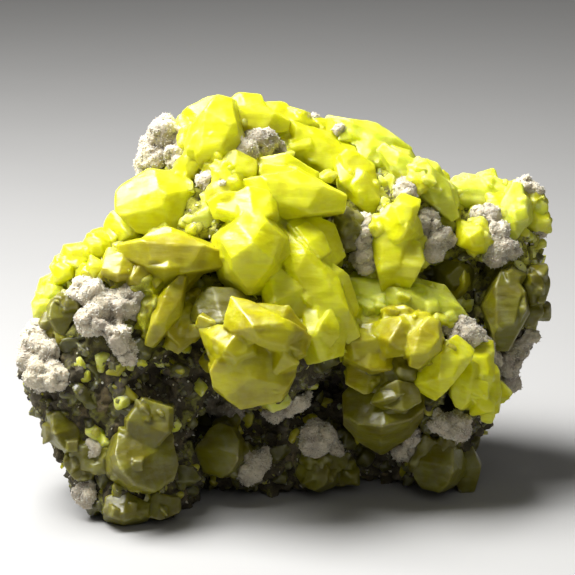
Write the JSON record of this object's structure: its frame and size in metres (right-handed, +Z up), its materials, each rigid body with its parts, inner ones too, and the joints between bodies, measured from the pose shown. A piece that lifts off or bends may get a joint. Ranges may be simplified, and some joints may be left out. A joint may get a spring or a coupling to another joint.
{
  "type": "native sulfur crystal specimen",
  "caption": "Cluster of bright yellow sulfur crystals with white sugary aragonite lumps, grown over a rough limestone matrix cut flat to stand.",
  "frame": {"origin": "middle of the bounding box, on the ground that the specimen stands on", "axes": "+X along the specimen's length, to the right when the crystal face is seen; -Y out of the crystal face; +Z up"},
  "size_m": [0.0886, 0.0612, 0.0655],
  "materials": {
    "limestone": "rough grey-brown rock, dull",
    "sulfur_lemon": "bright lemon yellow, translucent, resinous gloss",
    "sulfur_amber": "amber yellow, translucent, resinous gloss",
    "sulfur_olive": "olive yellow, glassy, resinous gloss",
    "aragonite": "white to lilac grey, sugary, dull"
  },
  "bodies": {
    "root": {"matrix": "limestone", "crown_crystals": "sulfur_lemon", "ridge_crystals": "sulfur_lemon", "lime_slope_crystals": "sulfur_lemon", "saddle_crystals": "sulfur_lemon", "oval_crystals": "sulfur_lemon", "shoulder_crystals": "sulfur_lemon", "left_slope_crystals": "sulfur_lemon", "shelf_crystals": "sulfur_olive", "heart_crystals": "sulfur_lemon", "prow_crystals": "sulfur_amber", "glassy_crystal": "sulfur_olive", "blade_crystals": "sulfur_amber", "tower_crystals": "sulfur_lemon", "cavity_crystal": "sulfur_amber", "ledge_crystals": "sulfur_lemon", "bluff_crystals": "sulfur_amber", "corner_crystals": "sulfur_lemon", "shaded_crystals": "sulfur_olive", "end_ridge_crystals": "sulfur_lemon", "hexagon_crystal": "sulfur_olive", "hollow_crystal": "sulfur_olive", "end_crystal": "sulfur_amber", "right_rim_crystals": "sulfur_olive", "left_rim_crystals": "sulfur_lemon", "left_olive_crystal": "sulfur_olive", "foot_crystals": "sulfur_olive", "toe_crystals": "sulfur_olive", "belly_crystal": "sulfur_olive", "flank_crystals": "sulfur_lemon", "keel_crystals": "sulfur_olive", "leg_crystals": "sulfur_olive", "rear_crown_crystals": "sulfur_lemon", "rear_crystals": "sulfur_amber", "rear_foot_crystals": "sulfur_olive", "peak_aragonite": "aragonite", "crown_aragonite": "aragonite", "saddle_aragonite": "aragonite", "pocket_aragonite": "aragonite", "left_end_aragonite": "aragonite", "flank_aragonite": "aragonite", "heel_aragonite": "aragonite", "prow_aragonite": "aragonite", "seam_aragonite": "aragonite", "belly_aragonite": "aragonite", "keel_aragonite": "aragonite", "leg_aragonite": "aragonite", "shade_aragonite": "aragonite", "shelf_aragonite": "aragonite", "right_end_aragonite": "aragonite", "gully_aragonite": "aragonite", "slope_aragonite": "aragonite", "notch_aragonite": "aragonite", "end_aragonite": "aragonite", "cap_aragonite": "aragonite", "rim_aragonite": "aragonite", "rear_crown_aragonite": "aragonite", "rear_flank_aragonite": "aragonite", "rear_foot_aragonite": "aragonite", "rear_end_aragonite": "aragonite"}
  },
  "joints": []
}
